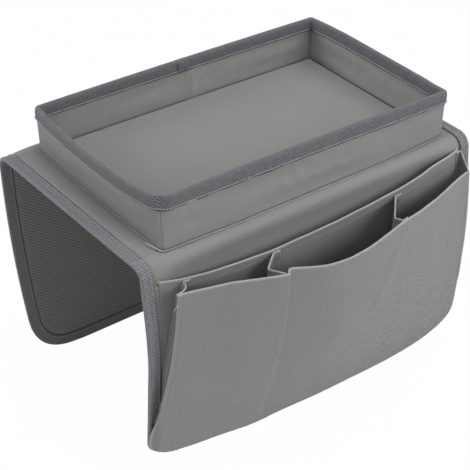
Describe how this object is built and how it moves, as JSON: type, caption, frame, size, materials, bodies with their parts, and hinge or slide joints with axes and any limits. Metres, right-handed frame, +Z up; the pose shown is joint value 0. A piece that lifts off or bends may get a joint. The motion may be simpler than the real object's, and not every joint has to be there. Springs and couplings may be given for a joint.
{
  "type": "sofa arm caddy",
  "caption": "Fabric saddle for a sofa arm with a boxed tray on top, a plain back flap and a front flap with a magazine pocket and bellows pockets.",
  "frame": {"origin": "Middle of the deck's underside, where the caddy rests on the sofa's arm.", "axes": "+X along the sofa's arm, to the right as seen from the pockets; +Y away from the pockets, towards the plain back flap; +Z up."},
  "size_m": [0.35, 0.2806, 0.2574],
  "materials": {
    "deck_lining_lining": "dark woven lining, fine diagonal rib, matt",
    "deck_board_board": "pressed card, bare",
    "deck_cover_oxford": "woven polyester, fine diagonal rib, matt",
    "deck_binding_left_tape": "woven binding tape, slight sheen",
    "deck_binding_right_tape": "woven binding tape, slight sheen",
    "front_fold_cover_oxford": "woven polyester, fine diagonal rib, matt",
    "front_fold_lining_lining": "dark woven lining, fine diagonal rib, matt",
    "front_fold_binding_left_tape": "woven binding tape, slight sheen",
    "front_fold_binding_right_tape": "woven binding tape, slight sheen",
    "back_fold_cover_oxford": "woven polyester, fine diagonal rib, matt",
    "back_fold_lining_lining": "dark woven lining, fine diagonal rib, matt",
    "back_fold_binding_left_tape": "woven binding tape, slight sheen",
    "back_fold_binding_right_tape": "woven binding tape, slight sheen",
    "tray_outer_cover_oxford": "woven polyester, fine diagonal rib, matt",
    "tray_inner_cover_oxford": "woven polyester, fine diagonal rib, matt",
    "tray_left_wall_board_board": "pressed card, bare",
    "tray_right_wall_board_board": "pressed card, bare",
    "tray_front_wall_board_board": "pressed card, bare",
    "tray_back_wall_board_board": "pressed card, bare",
    "tray_rim_binding_tape": "woven binding tape, slight sheen",
    "tray_base_seam_oxford": "woven polyester, fine diagonal rib, matt",
    "tray_floor_board_board": "pressed card, bare",
    "tray_floor_cover_oxford": "woven polyester, fine diagonal rib, matt",
    "front_flap_lining_lining": "dark woven lining, fine diagonal rib, matt",
    "front_flap_board_board": "pressed card, bare",
    "front_flap_cover_oxford": "woven polyester, fine diagonal rib, matt",
    "front_flap_binding_tape": "woven binding tape, slight sheen",
    "magazine_pocket_panel_oxford": "woven polyester, fine diagonal rib, matt",
    "pocket_front_panel_oxford": "woven polyester, fine diagonal rib, matt",
    "pocket_divider_left_oxford": "woven polyester, fine diagonal rib, matt",
    "pocket_divider_right_oxford": "woven polyester, fine diagonal rib, matt",
    "pocket_gusset_left_oxford": "woven polyester, fine diagonal rib, matt",
    "pocket_gusset_right_oxford": "woven polyester, fine diagonal rib, matt",
    "back_flap_lining_lining": "dark woven lining, fine diagonal rib, matt",
    "back_flap_board_board": "pressed card, bare",
    "back_flap_cover_oxford": "woven polyester, fine diagonal rib, matt",
    "back_flap_binding_tape": "woven binding tape, slight sheen"
  },
  "bodies": {
    "deck": {"deck_lining": "deck_lining_lining", "deck_board": "deck_board_board", "deck_cover": "deck_cover_oxford", "deck_binding_left": "deck_binding_left_tape", "deck_binding_right": "deck_binding_right_tape", "front_fold_cover": "front_fold_cover_oxford", "front_fold_lining": "front_fold_lining_lining", "front_fold_binding_left": "front_fold_binding_left_tape", "front_fold_binding_right": "front_fold_binding_right_tape", "back_fold_cover": "back_fold_cover_oxford", "back_fold_lining": "back_fold_lining_lining", "back_fold_binding_left": "back_fold_binding_left_tape", "back_fold_binding_right": "back_fold_binding_right_tape", "tray_outer_cover": "tray_outer_cover_oxford", "tray_inner_cover": "tray_inner_cover_oxford", "tray_left_wall_board": "tray_left_wall_board_board", "tray_right_wall_board": "tray_right_wall_board_board", "tray_front_wall_board": "tray_front_wall_board_board", "tray_back_wall_board": "tray_back_wall_board_board", "tray_rim_binding": "tray_rim_binding_tape", "tray_base_seam": "tray_base_seam_oxford", "tray_floor_board": "tray_floor_board_board", "tray_floor_cover": "tray_floor_cover_oxford"},
    "front_flap": {"front_flap_lining": "front_flap_lining_lining", "front_flap_board": "front_flap_board_board", "front_flap_cover": "front_flap_cover_oxford", "front_flap_binding": "front_flap_binding_tape", "magazine_pocket_panel": "magazine_pocket_panel_oxford", "pocket_front_panel": "pocket_front_panel_oxford", "pocket_divider_left": "pocket_divider_left_oxford", "pocket_divider_right": "pocket_divider_right_oxford", "pocket_gusset_left": "pocket_gusset_left_oxford", "pocket_gusset_right": "pocket_gusset_right_oxford"},
    "back_flap": {"back_flap_lining": "back_flap_lining_lining", "back_flap_board": "back_flap_board_board", "back_flap_cover": "back_flap_cover_oxford", "back_flap_binding": "back_flap_binding_tape"}
  },
  "joints": [
    {"name": "front_fold_hinge", "type": "hinge", "parent": "deck", "child": "front_flap", "pos_m": [0, -0.10763, -0.0017], "axis": [1, 0, 0], "range_deg": [-90, 25], "deforming": ["front_fold_cover", "front_fold_lining", "front_fold_binding_left", "front_fold_binding_right"]},
    {"name": "back_fold_hinge", "type": "hinge", "parent": "deck", "child": "back_flap", "pos_m": [0, 0.10789, -0.00197], "axis": [1, 0, 0], "range_deg": [-25, 90], "deforming": ["back_fold_cover", "back_fold_lining", "back_fold_binding_left", "back_fold_binding_right"]}
  ]
}
